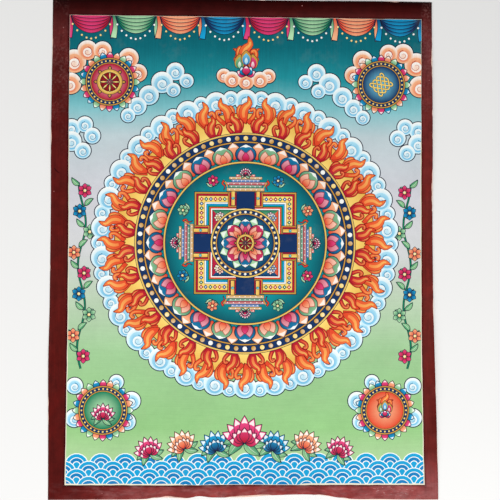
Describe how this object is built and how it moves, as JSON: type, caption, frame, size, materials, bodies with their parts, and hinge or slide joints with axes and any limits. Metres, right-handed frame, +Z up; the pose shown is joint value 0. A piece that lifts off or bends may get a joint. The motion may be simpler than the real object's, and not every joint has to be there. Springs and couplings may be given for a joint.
{
  "type": "thangka painting on a cut sheet of primed cotton, unmounted",
  "caption": "Thin rectangular sheet of primed cotton, taller than wide, painted with a picture inside a dark border; it lies flat with slightly lifted, unevenly cut edges.",
  "frame": {"origin": "on the surface that the sheet lies on, under the middle of the sheet's outline box", "axes": "+X to the right across the picture, +Y towards the picture's top, +Z up out of the painted face"},
  "size_m": [0.415, 0.5358, 0.0064],
  "materials": {
    "painted_cotton": "opaque distemper paint on primed plain-weave cotton, matt with a faint burnished sheen"
  },
  "bodies": {
    "root": {"canvas": "painted_cotton"}
  },
  "joints": []
}
